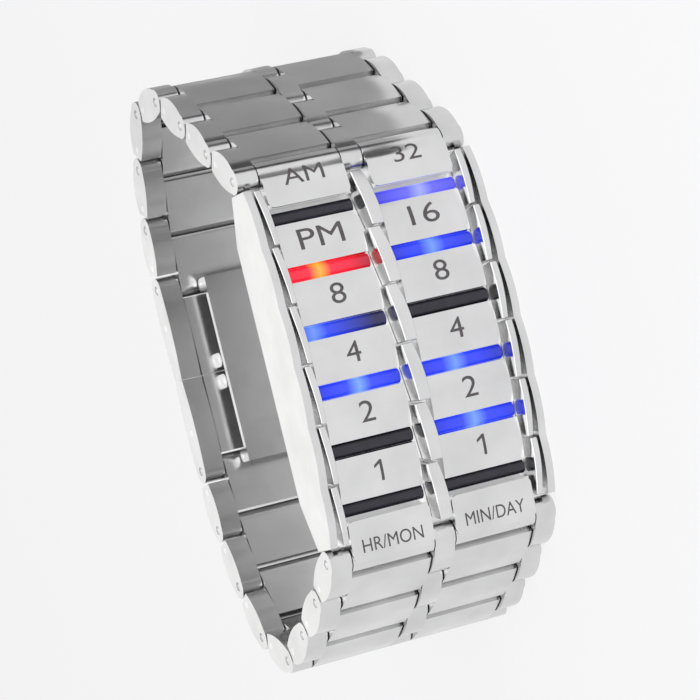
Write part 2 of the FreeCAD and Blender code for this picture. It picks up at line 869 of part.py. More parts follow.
# Clasp: two wings folded over a base, under the two end blocks

EAR_INNER = S.wing_width / 2 + S.ear_gap
EAR_OUTER = EAR_INNER + S.ear_width


def ear_pads(body, corners, pivot, radius, name):
    """A pair of ears either side of a wing's knuckle, with the pin's bore."""
    sketch = new_sketch(body, name + "_sketch", offset=-EAR_OUTER)
    outline(sketch, corners)
    circle(sketch, pivot[0], pivot[1], radius)
    ear = extrude(body, "Pad", sketch, S.ear_width, name)
    repeat(body, [ear], "Z_Axis", EAR_INNER + EAR_OUTER, 2, name + "s")


def make_end_block(name, point, heading, flip):
    """The last row: longer blocks whose ears carry the clasp's pin."""
    body = new_body(name)
    front = S.link_half + S.link_end_gap
    half = S.link_half
    reach = S.end_block_length - S.end_block_gap / 2
    wide = new_sketch(body, name + "_wide_sketch", offset=WIDE_START)
    outline(wide, [
        (front, -half, S.end_block_crown, 1),
        (reach, -half),
        (reach, half),
        (front, half),
    ])
    link_bores(wide, False)
    block = extrude(body, "Pad", wide, WIDE_WIDTH, name + "_wide")
    repeat(body, [block], "Z_Axis", WIDE_STEP, COLUMNS, name + "_wides")
    side = new_sketch(body, name + "_side_sketch", offset=-HALF_WIDTH)
    side_profile(side, reach, S.end_block_crown, S.end_block_crown)
    link = extrude(body, "Pad", side, S.side_link_width, name + "_side")
    repeat(body, [link], "Z_Axis", SIDE_STEP * 2, COLUMNS + 1, name + "_sides")
    pivot = S.end_block_length - S.clasp_tip
    ear_pads(body, [
        (pivot + S.knuckle_radius, half),
        (pivot + S.knuckle_radius, S.clasp_drop, S.knuckle_radius, 1),
        (pivot, S.clasp_drop + S.knuckle_radius, S.knuckle_radius, 1),
        (pivot - S.knuckle_radius, S.clasp_drop),
        (pivot - S.knuckle_radius, half),
    ], (pivot, S.clasp_drop), S.clasp_pin_radius, name + "_ear")
    put(body, point[0], point[1], heading, flip)
    return keep(body)


def make_wing(name, point, heading, flip, clearance):
    """A wing from its end block's pin at the origin to the base's pin along -X."""
    body = new_body(name)
    half = S.wing_thickness / 2
    start = -S.wing_width / 2
    slab(body, "Pad", (-S.wing_length, 0, -half, half, start, start + S.wing_width), name + "_plate")
    for number, (x, slack) in enumerate(((0, clearance), (-S.wing_length, S.clasp_pin_clearance))):
        cylinder(body, "Additive", (x, 0, start), (0, 0, 1), S.knuckle_radius, S.wing_width,
                 name + "_knuckle_" + str(number))
        cylinder(body, "Subtractive", (x, 0, start), (0, 0, 1), S.clasp_pin_radius + slack,
                 S.wing_width, name + "_bore_" + str(number))
    put(body, point[0], point[1], heading, flip)
    return keep(body)


def make_clasp(block, heading):
    """The clasp's wings, base and pins, set out from the upper end block."""
    block_frame = FreeCAD.Rotation(FreeCAD.Vector(0, 0, 1), heading)

    def place(along, drop):
        moved = block_frame.multVec(FreeCAD.Vector(along, drop, 0))
        return (block[0] + moved.x, block[1] + moved.y)

    seam = S.end_block_length.value
    tip = S.clasp_tip.value
    drop = S.clasp_drop.value
    make_wing("upper_wing", place(seam - tip, drop), heading, False, S.clasp_pin_clearance)
    make_wing("lower_wing", place(seam + tip, drop), heading + 180, True, S.open_pivot_clearance)
    middle = place(seam, drop)
    body = new_body("clasp_base")
    reach = S.wing_length + S.clasp_tip
    round_end = S.knuckle_radius
    slab(body, "Pad", (-reach - round_end, reach + round_end, S.base_drop, S.base_drop + S.base_thickness,
                       -EAR_OUTER, EAR_OUTER), "base_plate")
    for number, side in enumerate((1, -1)):
        x = reach * side
        ear_pads(body, [
            (x + round_end, S.base_drop),
            (x - round_end, S.base_drop),
            (x - round_end, 0, round_end, 1),
            (x, -round_end, round_end, 1),
            (x + round_end, 0),
        ], (x, 0), S.clasp_pin_radius, "base_ear_" + str(number))
    put(body, middle[0], middle[1], heading)
    keep(body)
    pins = new_body("clasp_base_pins")
    for number, side in enumerate((1, -1)):
        cylinder(pins, "Additive", (reach * side, 0, -EAR_OUTER), (0, 0, 1), S.clasp_pin_radius,
                 EAR_OUTER * 2, "base_pin_" + str(number))
    put(pins, middle[0], middle[1], heading)
    keep(pins)


def make_half(side, hinges, headings, flip):
    """One half of the bracelet, from its lug to its end block."""
    for number in range(LINKS):
        name = side + "_link_" + str(number + 1)
        make_link(name, hinges[number], headings[number], flip)
        make_link_pins(name + "_pins", hinges[number], headings[number], flip)
    make_end_block(side + "_end_block", hinges[-1], headings[-1], flip)
    make_link_pins(side + "_end_block_pins", hinges[-1], headings[-1], flip, clasp_pin=True)


def export_all():
    """Recompute, check every object and write each sub-part."""
    doc.recompute()
    faults = [o.Name + " " + str(o.State) for o in doc.Objects if {"Invalid", "Error"} & set(o.State)]
    for body in NODES:
        shape = body.Shape
        if shape.isNull() or not shape.isValid():
            faults.append(body.Label + " has no valid shape")
    if faults:
        raise RuntimeError("; ".join(faults))
    for body in NODES:
        body.Shape.exportStep("parts/" + body.Label + ".step")
        print(body.Label, len(body.Shape.Solids), "solids", round(body.Shape.Volume, 2), "mm3")


make_case()
make_rails()
for column, side in enumerate(("right", "left")):
    make_plates("digit_plates_" + side, column)
    make_bars("light_bars_" + side, column)
GAPS = bar_rows()
RED_GAPS = 2
make_leds("leds_blue", [(0, GAPS), (1, GAPS[:-RED_GAPS])])
make_leds("leds_red", [(1, GAPS[-RED_GAPS:])])
make_board()
make_cells()
make_back()
make_buttons()
make_half("upper", UPPER, UPPER_HEADINGS, False)
make_half("lower", LOWER, LOWER_HEADINGS, True)
make_clasp(UPPER[-1], UPPER_HEADINGS[-1])
export_all()
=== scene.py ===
import json
import math

import bmesh
import bpy
from mathutils import Matrix, Vector


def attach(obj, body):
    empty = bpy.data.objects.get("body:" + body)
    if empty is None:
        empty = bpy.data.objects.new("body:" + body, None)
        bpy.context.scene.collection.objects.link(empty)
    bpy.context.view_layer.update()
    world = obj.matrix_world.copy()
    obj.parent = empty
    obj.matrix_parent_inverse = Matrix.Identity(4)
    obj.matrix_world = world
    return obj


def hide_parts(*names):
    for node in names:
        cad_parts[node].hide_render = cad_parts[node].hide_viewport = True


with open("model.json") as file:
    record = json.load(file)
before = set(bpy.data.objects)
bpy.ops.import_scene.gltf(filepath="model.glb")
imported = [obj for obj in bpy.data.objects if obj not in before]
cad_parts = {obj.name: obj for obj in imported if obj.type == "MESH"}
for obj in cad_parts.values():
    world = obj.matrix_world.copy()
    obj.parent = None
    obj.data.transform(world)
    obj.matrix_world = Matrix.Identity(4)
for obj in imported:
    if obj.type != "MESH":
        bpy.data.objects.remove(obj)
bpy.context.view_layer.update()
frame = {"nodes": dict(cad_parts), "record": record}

nodes = frame["nodes"]
scene = bpy.context.scene
scene.view_settings.view_transform = "Standard"
MM = 0.001

# Sizes, in millimetres unless noted
FACE_RADIUS = 86.0
ROW_PITCH = 6.7
PLATE_CROWN = 9.0
PLATE_LENGTH = 4.9
PLATE_THICKNESS = 1.4
COLUMN_LEFT = 20.375
COLUMN_RIGHT = 7.625
COLUMNS = {"left": COLUMN_LEFT, "right": COLUMN_RIGHT}
SHARP_ANGLE = math.radians(40)


# Material helpers

EVEN = (1.0, 1.0, 1.0)
ACROSS = (1.0, 1.0, 0.05)
ALONG = (0.05, 1.0, 1.0)
WHITE = (1.0, 1.0, 1.0, 1.0)
CLOUD_SCALE = 180.0
GRAIN_SCALE = 900.0
MOTTLE_SCALE = 700.0
TONE_LOW = 0.3
TONE_HIGH = 0.7
BUMP_DEPTH = 0.02
PLASTIC_BUMP = 0.2


def new_material(name):
    """A fresh node material and its Principled shader."""
    material = bpy.data.materials.new(name)
    material.use_nodes = True
    shader = material.node_tree.nodes["Principled BSDF"]
    return material, shader


def link(material, output, target):
    """Join two sockets."""
    material.node_tree.links.new(output, target)


def stretched_noise(material, scale, detail, stretch):
    """Noise in the object's own frame, stretched along chosen axes."""
    tree = material.node_tree.nodes
    place = tree.new("ShaderNodeTexCoord")
    mapping = tree.new("ShaderNodeMapping")
    mapping.inputs["Scale"].default_value = stretch
    noise = tree.new("ShaderNodeTexNoise")
    noise.inputs["Scale"].default_value = scale
    noise.inputs["Detail"].default_value = detail
    link(material, place.outputs["Object"], mapping.inputs["Vector"])
    link(material, mapping.outputs["Vector"], noise.inputs["Vector"])
    return noise


def ramp(material, value, stops):
    """A colour ramp over a value; stops are (position, colour)."""
    node = material.node_tree.nodes.new("ShaderNodeValToRGB")
    elements = node.color_ramp.elements
    while len(elements) < len(stops):
        elements.new(0.5)
    for element, (position, colour) in zip(elements, stops):
        element.position = position
        element.color = colour
    link(material, value, node.inputs["Fac"])
    return node


def grey(value, tint):
    """A tinted grey with full alpha."""
    return tuple(value * part for part in tint) + (1.0,)


def two_tones(material, noise, low, high):
    """The base colour, clouded between two colours."""
    tone = ramp(material, noise.outputs["Fac"], [(TONE_LOW, low), (TONE_HIGH, high)])
    shader = material.node_tree.nodes["Principled BSDF"]
    link(material, tone.outputs["Color"], shader.inputs["Base Color"])


def bumps(material, noise, strength):
    """Fine relief from a noise."""
    bump = material.node_tree.nodes.new("ShaderNodeBump")
    bump.inputs["Strength"].default_value = strength
    bump.inputs["Distance"].default_value = BUMP_DEPTH * MM
    shader = material.node_tree.nodes["Principled BSDF"]
    link(material, noise.outputs["Fac"], bump.inputs["Height"])
    link(material, bump.outputs["Normal"], shader.inputs["Normal"])


def steel(name, light, dark, roughness, spread, grain, grain_depth, tint=EVEN):
    """Brushed or polished steel: soft clouding in colour, grain in roughness and height."""
    material, shader = new_material(name)
    shader.inputs["Metallic"].default_value = 1.0
    cloud = stretched_noise(material, CLOUD_SCALE, 3.0, EVEN)
    two_tones(material, cloud, grey(dark, tint), grey(light, tint))
    lines = stretched_noise(material, GRAIN_SCALE, 6.0, grain)
    rough = material.node_tree.nodes.new("ShaderNodeMapRange")
    rough.inputs["To Min"].default_value = roughness - spread
    rough.inputs["To Max"].default_value = roughness + spread
    link(material, lines.outputs["Fac"], rough.inputs["Value"])
    link(material, rough.outputs["Result"], shader.inputs["Roughness"])
    bumps(material, lines, grain_depth)
    return material


def plastic(name, colour, roughness, mottle):
    """Moulded plastic, card or coating with slight mottling and fine bumps."""
    material, shader = new_material(name)
    noise = stretched_noise(material, MOTTLE_SCALE, 4.0, EVEN)
    low = tuple(part * (1.0 - mottle) for part in colour) + (1.0,)
    high = tuple(min(1.0, part * (1.0 + mottle)) for part in colour) + (1.0,)
    two_tones(material, noise, low, high)
    shader.inputs["Roughness"].default_value = roughness
    bumps(material, noise, PLASTIC_BUMP)
    return material


# Steels: light, dark, roughness, its spread, grain direction, grain depth
# Plastics: colour, roughness, mottling
MATERIALS = {
    "steel_bracelet": steel("bracelet_steel", 0.74, 0.64, 0.24, 0.06, ACROSS, 0.25),
    "steel_pin": steel("pin_steel", 0.82, 0.76, 0.16, 0.04, ACROSS, 0.1),
    "steel_clasp": steel("clasp_steel", 0.72, 0.62, 0.2, 0.05, ACROSS, 0.2),
    "steel_case": steel("case_steel", 0.76, 0.68, 0.22, 0.05, ALONG, 0.2),
    "steel_rail": steel("rail_steel", 0.78, 0.68, 0.18, 0.04, ALONG, 0.15),
    "steel_cover": steel("cover_steel", 0.78, 0.7, 0.26, 0.06, ALONG, 0.25),
    "steel_plate": steel("plate_steel", 0.78, 0.70, 0.2, 0.05, ACROSS, 0.15),
    "board": plastic("board_green", (0.03, 0.22, 0.08), 0.45, 0.15),
    "chip": plastic("chip_black", (0.02, 0.02, 0.02), 0.4, 0.2),
    "crystal_can": steel("can_metal", 0.8, 0.72, 0.25, 0.05, EVEN, 0.1),
    "holder": plastic("holder_black", (0.04, 0.04, 0.04), 0.5, 0.2),
    "cell": steel("cell_metal", 0.8, 0.74, 0.22, 0.05, EVEN, 0.15),
    "contact": steel("contact_brass", 0.8, 0.7, 0.25, 0.05, EVEN, 0.1, (1.0, 0.78, 0.4)),
    "gasket": plastic("gasket_rubber", (0.02, 0.02, 0.02), 0.7, 0.2),
    "led_blue": plastic("lamp_blue", (0.1, 0.2, 0.8), 0.3, 0.1),
    "led_red": plastic("lamp_red", (0.8, 0.08, 0.05), 0.3, 0.1),
    "light_bar": plastic("bar_dark", (0.02, 0.02, 0.03), 0.2, 0.2),
}


FLAT_ANGLE = math.radians(0.6)
SOFT_ANGLE = math.radians(35.0)
SHORTEST_SOFT = 0.45
SOFT_STEPS = 3
EDGE_FACE = 0.12
EDGE_LINK = 0.28
EDGE_HOUSING = 0.1
EDGE_SMALL = 0.03


def dress_nodes():
    """Give each CAD node its slot's material, softened edges and smooth curves."""
    for part in frame["record"]["subparts"]:
        node = nodes[part["node"]]
        node.data.materials.clear()
        node.data.materials.append(MATERIALS[part["material_slot"]])
        node.data.shade_smooth()
        merge = node.modifiers.new("flats", "DECIMATE")
        merge.decimate_type = "DISSOLVE"
        merge.angle_limit = FLAT_ANGLE
        weigh_edges(node.data)
        edge = node.modifiers.new("edges", "BEVEL")
        edge.limit_method = "WEIGHT"
        edge.width = edge_width(part["node"]) * MM
        edge.segments = SOFT_STEPS
        edge.harden_normals = True
        edge.use_clamp_overlap = True


def weigh_edges(mesh):
    """Mark the long sharp edges, so that small bores don't limit the softening."""
    work = bmesh.new()
    work.from_mesh(mesh)
    weights = [0.0] * len(work.edges)
    for edge in work.edges:
        if not edge.is_manifold or edge.calc_face_angle() < SOFT_ANGLE:
            continue
        if edge.calc_length() > SHORTEST_SOFT * MM:
            weights[edge.index] = 1.0
    work.free()
    marks = mesh.attributes.new("bevel_weight_edge", "FLOAT", "EDGE")
    marks.data.foreach_set("value", weights)


def edge_width(name):
    """How wide a node's softened edges are."""
    if name.startswith(("digit_plates", "rail")):
        return EDGE_FACE
    if "link" in name or "end_block" in name:
        return EDGE_SMALL if name.endswith("pins") else EDGE_LINK
    if name in ("case_body", "back_cover", "clasp_base"):
        return EDGE_HOUSING
    return EDGE_SMALL


def soften(piece, width, angle, steps):
    """Rounded edges on a piece of the scene's own."""
    edge = piece.modifiers.new("edges", "BEVEL")
    edge.limit_method = "ANGLE"
    edge.angle_limit = angle
    edge.width = width * MM
    edge.segments = steps
    edge.harden_normals = True


dress_nodes()


# Camera: fitted to the photograph's plates and bars

SENSOR_WIDTH = 36.0
FOCAL_PIXELS = 3000.0
PICTURE_PIXELS = 700.0
CAMERA_PLACE = Vector((-9.644, -304.295, 145.823))
CAMERA_RIGHT = Vector((-0.23894, -0.36229, -0.90092))
CAMERA_DOWN = Vector((-0.97054, 0.11879, 0.20964))
CAMERA_FORWARD = Vector((0.03107, 0.92447, -0.37999))


def add_camera():
    """The camera at the photograph's place, looking along its axis."""
    data = bpy.data.cameras.new("camera")
    data.sensor_width = SENSOR_WIDTH
    data.lens = SENSOR_WIDTH * FOCAL_PIXELS / PICTURE_PIXELS
    data.clip_start = 0.01
    data.clip_end = 10.0
    camera = bpy.data.objects.new("camera", data)
    scene.collection.objects.link(camera)
    turn = Matrix((CAMERA_RIGHT, -CAMERA_DOWN, -CAMERA_FORWARD)).transposed()
    place = Matrix.Translation(CAMERA_PLACE * MM)
    camera.matrix_world = place @ turn.to_4x4()
    scene.camera = camera


add_camera()


# Studio: a pale floor and sky, three soft lamps, and cards that only the metal mirrors

FLOOR_SIZE = 1600.0
FLOOR_COLOUR = (0.93, 0.93, 0.93)
FLOOR_MOTTLE = 0.98
FLOOR_WHITE = 0.74
SKY_COLOUR = (0.86, 0.86, 0.93, 1.0)
SKY_STRENGTH = 0.5
CENTRE = (0, 10, 14)


def white_to_camera(name, colour):
    """A pale surface that camera, glossy and transmission rays see as nearly white."""
    material, shader = new_material(name)
    tree = material.node_tree.nodes
    noise = stretched_noise(material, 30.0, 3.0, EVEN)
    low = tuple(part * FLOOR_MOTTLE for part in colour) + (1.0,)
    two_tones(material, noise, low, colour + (1.0,))
    shader.inputs["Roughness"].default_value = 0.8
    glow = tree.new("ShaderNodeEmission")
    glow.inputs["Color"].default_value = WHITE
    share = tree.new("ShaderNodeMath")
    share.operation = "MULTIPLY"
    share.inputs[1].default_value = FLOOR_WHITE
    link(material, seen_directly(material.node_tree), share.inputs[0])
    mix = tree.new("ShaderNodeMixShader")
    link(material, share.outputs["Value"], mix.inputs["Fac"])
    link(material, shader.outputs["BSDF"], mix.inputs[1])
    link(material, glow.outputs["Emission"], mix.inputs[2])
    link(material, mix.outputs["Shader"], tree["Material Output"].inputs["Surface"])
    return material


def seen_directly(tree):
    """One for camera, glossy and transmission rays, else nought."""
    path = tree.nodes.new("ShaderNodeLightPath")
    total = None
    for kind in ("Is Camera Ray", "Is Glossy Ray", "Is Transmission Ray"):
        if total is None:
            total = path.outputs[kind]
            continue
        join = tree.nodes.new("ShaderNodeMath")
        join.operation = "MAXIMUM"
        tree.links.new(total, join.inputs[0])
        tree.links.new(path.outputs[kind], join.inputs[1])
        total = join.outputs["Value"]
    return total


def add_plane(name, centre, normal, width, height, material, camera_sees=True):
    """A flat sheet of the studio; one that the camera doesn't see is only mirrored."""
    mesh = bpy.data.meshes.new(name)
    corners = [(-width / 2, -height / 2, 0), (width / 2, -height / 2, 0),
               (width / 2, height / 2, 0), (-width / 2, height / 2, 0)]
    mesh.from_pydata([Vector(corner) * MM for corner in corners], [], [(0, 1, 2, 3)])
    mesh.materials.append(material)
    sheet = bpy.data.objects.new(name, mesh)
    scene.collection.objects.link(sheet)
    turn = Vector(normal).to_track_quat("Z", "Y")
    sheet.matrix_world = Matrix.Translation(Vector(centre) * MM) @ turn.to_matrix().to_4x4()
    if not camera_sees:
        sheet.visible_camera = False
        sheet.visible_shadow = False
        sheet.visible_diffuse = False


def add_lamp(name, place, target, size, power, colour):
    """A soft square lamp aimed at a point."""
    data = bpy.data.lights.new(name, "AREA")
    data.shape = "SQUARE"
    data.size = size * MM
    data.energy = power
    data.color = colour
    lamp = bpy.data.objects.new(name, data)
    scene.collection.objects.link(lamp)
    aim = (Vector(target) - Vector(place)).to_track_quat("-Z", "Y")
    lamp.matrix_world = Matrix.Translation(Vector(place) * MM) @ aim.to_matrix().to_4x4()


def add_world():
    """A pale sky that camera, glossy and transmission rays see as plain white."""
    world = bpy.data.worlds.new("studio")
    scene.world = world
    world.use_nodes = True
    tree = world.node_tree
    sky = tree.nodes["Background"]
    sky.inputs["Color"].default_value = SKY_COLOUR
    sky.inputs["Strength"].default_value = SKY_STRENGTH
    white = tree.nodes.new("ShaderNodeBackground")
    white.inputs["Color"].default_value = WHITE
    mix = tree.nodes.new("ShaderNodeMixShader")
    tree.links.new(seen_directly(tree), mix.inputs["Fac"])
    tree.links.new(sky.outputs["Background"], mix.inputs[1])
    tree.links.new(white.outputs["Background"], mix.inputs[2])
    tree.links.new(mix.outputs["Shader"], tree.nodes["World Output"].inputs["Surface"])


add_plane("floor", (0, 0, -0.02), (0, 0, 1), FLOOR_SIZE, FLOOR_SIZE,
          white_to_camera("floor_pale", FLOOR_COLOUR))
BLACK_CARD = plastic("card_black", (0.02, 0.02, 0.02), 0.7, 0.2)
GREY_CARD = plastic("card_grey", (0.56, 0.55, 0.53), 0.7, 0.1)
CARDS = [
    ("card_bend", (62, -11, 22), (-1, 0, 0), 20, 44, BLACK_CARD),
    ("card_bend_floor", (49, -9, 0.3), (0, 0, 1), 26, 15, BLACK_CARD),
    ("card_side", (66, 30, 20), (-1, 0, 0), 62, 40, GREY_CARD),
    ("card_side_floor", (52, 28, 0.3), (0, 0, 1), 28, 56, GREY_CARD),
    ("card_behind", (52, 74, 18), (0, -1, 0), 50, 36, GREY_CARD),
    ("card_over_camera", (-10, -330, 245), (0, 1, -0.6), 300, 110, BLACK_CARD),
]
for card in CARDS:
    add_plane(*card, camera_sees=False)
add_world()
add_lamp("key", (-60, -260, 260), CENTRE, 420, 0.55, (1.0, 1.0, 1.0))
add_lamp("fill", (200, -120, 220), CENTRE, 400, 0.3, (0.95, 0.95, 1.0))
add_lamp("back", (-80, 260, 300), (0, 30, 14), 400, 0.12, (1.0, 0.98, 0.95))


# Light bars: each bar is its own piece, lit or dark

# Each light's colour at the ends, in the body and at its lamp
LAMP_COLOURS = {
    "blue": ((0.0, 0.01, 0.3), (0.02, 0.05, 1.0), (0.15, 0.3, 1.0)),
    "fading": ((0.01, 0.01, 0.05), (0.02, 0.06, 0.9), (0.15, 0.3, 1.0)),
    "violet": ((0.02, 0.02, 0.4), (0.12, 0.12, 1.0), (0.3, 0.35, 1.0)),
    "red": ((0.30, 0.0, 0.0), (0.9, 0.008, 0.02), (1.0, 0.32, 0.02)),
}


BODY_STOP = 0.22


def lit_bar(name, kind, middle, half, power):
    """A glowing bar: brightest at its lamp, fading to both ends."""
    material, shader = new_material(name)
    tree = material.node_tree
    edge, body, core = LAMP_COLOURS[kind]
    shader.inputs["Base Color"].default_value = (0.02, 0.02, 0.05, 1.0)
    shader.inputs["Roughness"].default_value = 0.15
    place = tree.nodes.new("ShaderNodeTexCoord")
    split = tree.nodes.new("ShaderNodeSeparateXYZ")
    link(material, place.outputs["Object"], split.inputs["Vector"])
    offset = tree.nodes.new("ShaderNodeMath")
    offset.operation = "SUBTRACT"
    offset.inputs[1].default_value = middle * MM
    link(material, split.outputs["Z"], offset.inputs[0])
    size = tree.nodes.new("ShaderNodeMath")
    size.operation = "ABSOLUTE"
    link(material, offset.outputs["Value"], size.inputs[0])
    reach = tree.nodes.new("ShaderNodeMapRange")
    reach.inputs["From Min"].default_value = 0.0
    reach.inputs["From Max"].default_value = half * MM
    link(material, size.outputs["Value"], reach.inputs["Value"])
    tone = ramp(material, reach.outputs["Result"],
                [(0.0, core + (1.0,)), (BODY_STOP, body + (1.0,)), (1.0, edge + (1.0,))])
    link(material, tone.outputs["Color"], shader.inputs["Emission Color"])
    shader.inputs["Emission Strength"].default_value = power
    return material


# Bars by row, from the lowest up: None is dark, else the light's kind, the place and reach of its
# lamp across the watch, and its strength
DARK_BAR = MATERIALS["light_bar"]
LOWEST_ROW = -2
BAR_STATES = {
    "left": {-2: None, -1: None, 0: ("blue", 20.4, 6.5, 1.3), 1: ("fading", 24.2, 7.5, 1.0),
             2: ("red", 21.5, 6.0, 1.5), 3: None},
    "right": {-2: None, -1: ("blue", 7.6, 7.0, 1.2), 0: ("blue", 8.5, 7.0, 1.1), 1: None,
              2: ("blue", 7.6, 7.0, 1.1), 3: ("violet", 7.0, 7.0, 1.2)},
}


def islands(node):
    """The node's separate solids, as new meshes sorted along the face."""
    source = bmesh.new()
    source.from_mesh(node.data)
    bmesh.ops.remove_doubles(source, verts=source.verts, dist=1e-7)
    left = set(source.verts)
    groups = []
    while left:
        stack = [left.pop()]
        group = set(stack)
        while stack:
            for edge in stack.pop().link_edges:
                for vert in edge.verts:
                    if vert in left:
                        left.discard(vert)
                        group.add(vert)
                        stack.append(vert)
        groups.append(group)
    groups.sort(key=lambda group: sum(vert.co.x for vert in group) / len(group))
    meshes = []
    for group in groups:
        ranked = sorted(group, key=lambda vert: vert.index)
        order = {vert: number for number, vert in enumerate(ranked)}
        own = [face for face in source.faces if face.verts[0] in group]
        faces = [[order[vert] for vert in face.verts] for face in own]
        mesh = bpy.data.meshes.new("piece")
        mesh.from_pydata([vert.co for vert in order], [], faces)
        meshes.append(mesh)
    source.free()
    return meshes


def add_bars(side):
    """Replace a column's bar node by six bars."""
    node = "light_bars_" + side
    for number, mesh in enumerate(islands(nodes[node])):
        state = BAR_STATES[side][number + LOWEST_ROW]
        name = "bar_" + side + "_" + str(number + 1)
        mesh.materials.append(lit_bar(name + "_glow", *state) if state else DARK_BAR)
        mesh.shade_smooth()
        mesh.set_sharp_from_angle(angle=SHARP_ANGLE)
        bar = bpy.data.objects.new(name, mesh)
        scene.collection.objects.link(bar)
        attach(bar, "head")
        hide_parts(node)


for side in COLUMNS:
    add_bars(side)


# Rails: a row of slanted scales beside the plates

RAIL_RISE = 0.9
RAIL_CROWN = 12.5
RAIL_STEPS = 12
SCALE_GAP = 0.015
SLANT_START = 0.12
SLANT_POWER = 1.3
PINCH_POWER = 1.6
SCALE_EDGE = 0.14
REAR_GAP = 0.02
# Node, lower and upper side across the watch, which side slants, slant, pinch
RAILS = [
    ("rail_left", 25.7, 26.8, 1, 0.55, 0.30),
    ("rail_centre", 12.95, 15.05, 1, 0.75, 0.75),
    ("rail_right", 1.2, 2.3, -1, 0.45, 0.30),
]


def on_face(row, depth):
    """A point of the face's curve at a row position and a depth."""
    angle = row * ROW_PITCH / FACE_RADIUS
    reach = FACE_RADIUS - depth
    return reach * math.sin(angle), FACE_RADIUS - reach * math.cos(angle)


def scallop(row, part):
    """A point of the scalloped front edge, part of the way from one row to the next."""
    x0, y0 = on_face(row, -RAIL_RISE)
    x1, y1 = on_face(row + 1, -RAIL_RISE)
    length = math.hypot(x1 - x0, y1 - y0)
    bulge = math.sqrt(RAIL_CROWN ** 2 - ((part - 0.5) * length) ** 2)
    bulge -= math.sqrt(RAIL_CROWN ** 2 - (length / 2) ** 2)
    return (x0 + (x1 - x0) * part + (y1 - y0) / length * bulge,
            y0 + (y1 - y0) * part - (x1 - x0) / length * bulge)


def add_scale(name, node, row, low, high, outer, slant, pinch):
    """One scale of a rail, slanted towards the plates at its lower end."""
    points = []
    for step in range(RAIL_STEPS + 1):
        part = SCALE_GAP + (1.0 - 2 * SCALE_GAP) * step / RAIL_STEPS
        lower = 1.0 - part
        fall = slant * max(lower - SLANT_START, 0.0) ** SLANT_POWER
        rise = pinch * part ** PINCH_POWER
        if outer < 0:
            start, end = low + fall, high - rise
        else:
            start, end = low + rise, high - fall
        front = scallop(row, part)
        back = on_face(row + part, PLATE_THICKNESS - REAR_GAP)
        points += [front + (start,), front + (end,), back + (end,), back + (start,)]
    faces = [(0, 1, 2, 3), tuple(len(points) - 4 + corner for corner in (3, 2, 1, 0))]
    for step in range(RAIL_STEPS):
        base = step * 4
        for corner in range(4):
            following = (corner + 1) % 4
            faces.append((base + corner, base + 4 + corner,
                          base + 4 + following, base + following))
    mesh = bpy.data.meshes.new(name)
    mesh.from_pydata([Vector(point) * MM for point in points], [], faces)
    work = bmesh.new()
    work.from_mesh(mesh)
    bmesh.ops.recalc_face_normals(work, faces=work.faces[:])
    work.to_mesh(mesh)
    work.free()
    mesh.materials.append(MATERIALS["steel_rail"])
    mesh.shade_smooth()
    scale = bpy.data.objects.new(name, mesh)
    scene.collection.objects.link(scale)
    soften(scale, SCALE_EDGE, SHARP_ANGLE, SOFT_STEPS)
    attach(scale, "head")
    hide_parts(node)


for node, low, high, outer, slant, pinch in RAILS:
    for row in range(-3, 3):
        add_scale(node + "_scale_" + str(row + 4), node, row, low, high, outer, slant, pinch)


# Dark letters on the plates, and the raised pads on the case's ends

INK = plastic("engraving_dark", (0.10, 0.09, 0.09), 0.5, 0.25)
INK_HEIGHT = 0.015
INK_SINK = 0.05
CUT_STEP = 0.25
SAME_PLACE = 1e-5
SAME_LEVEL = 1e-4
ROUGH_THICKNESS = 0.1


def arc_y(x):
    """Depth of the plates' curve at X."""
    return FACE_RADIUS - math.sqrt(FACE_RADIUS ** 2 - x ** 2)


def plate_surface(row):
    """Maps distance along a plate to (x, y, outward normal) on its crowned front."""
    angle = row * ROW_PITCH / FACE_RADIUS
    rim = PLATE_THICKNESS / 4
    half = PLATE_LENGTH / 2
    drop = PLATE_CROWN - math.sqrt(PLATE_CROWN ** 2 - half ** 2)

    def place(along):
        depth = rim - drop + PLATE_CROWN - math.sqrt(PLATE_CROWN ** 2 - along ** 2)
        reach = FACE_RADIUS - depth
        x = reach * math.sin(angle) + math.cos(angle) * along
        y = FACE_RADIUS - reach * math.cos(angle) + math.sin(angle) * along
        lean = angle + math.asin(along / PLATE_CROWN)
        return x, y, (math.sin(lean), -math.cos(lean))
    return place


ONE_OUTLINE = [
    (0.28, 0.0), (0.42, 0.0), (0.42, 1.0), (0.32, 1.0), (0.0, 0.78), (0.0, 0.64), (0.28, 0.82),
]


def letter_mesh(text, width, height):
    """Flat letters of a set size, centred on the origin, as a mesh."""
    if text == "1":
        mesh = bpy.data.meshes.new("letters")
        mesh.from_pydata([(x, y, 0.0) for x, y in ONE_OUTLINE], [], [range(len(ONE_OUTLINE))])
        return fitted(mesh, width, height)
    curve = bpy.data.curves.new("letters", "FONT")
    curve.body = text
    curve.align_x = "CENTER"
    curve.resolution_u = 6
    holder = bpy.data.objects.new("letters", curve)
    scene.collection.objects.link(holder)
    bpy.context.view_layer.update()
    graph = bpy.context.evaluated_depsgraph_get()
    mesh = bpy.data.meshes.new_from_object(holder.evaluated_get(graph))
    bpy.data.objects.remove(holder)
    bpy.data.curves.remove(curve)
    return fitted(mesh, width, height)


def fitted(mesh, width, height):
    """The mesh scaled to a size and centred."""
    xs = [vert.co.x for vert in mesh.vertices]
    ys = [vert.co.y for vert in mesh.vertices]
    grow = (width / (max(xs) - min(xs)), height / (max(ys) - min(ys)))
    middle = ((max(xs) + min(xs)) / 2, (max(ys) + min(ys)) / 2)
    for vert in mesh.vertices:
        vert.co.x = (vert.co.x - middle[0]) * grow[0]
        vert.co.y = (vert.co.y - middle[1]) * grow[1]
    return mesh


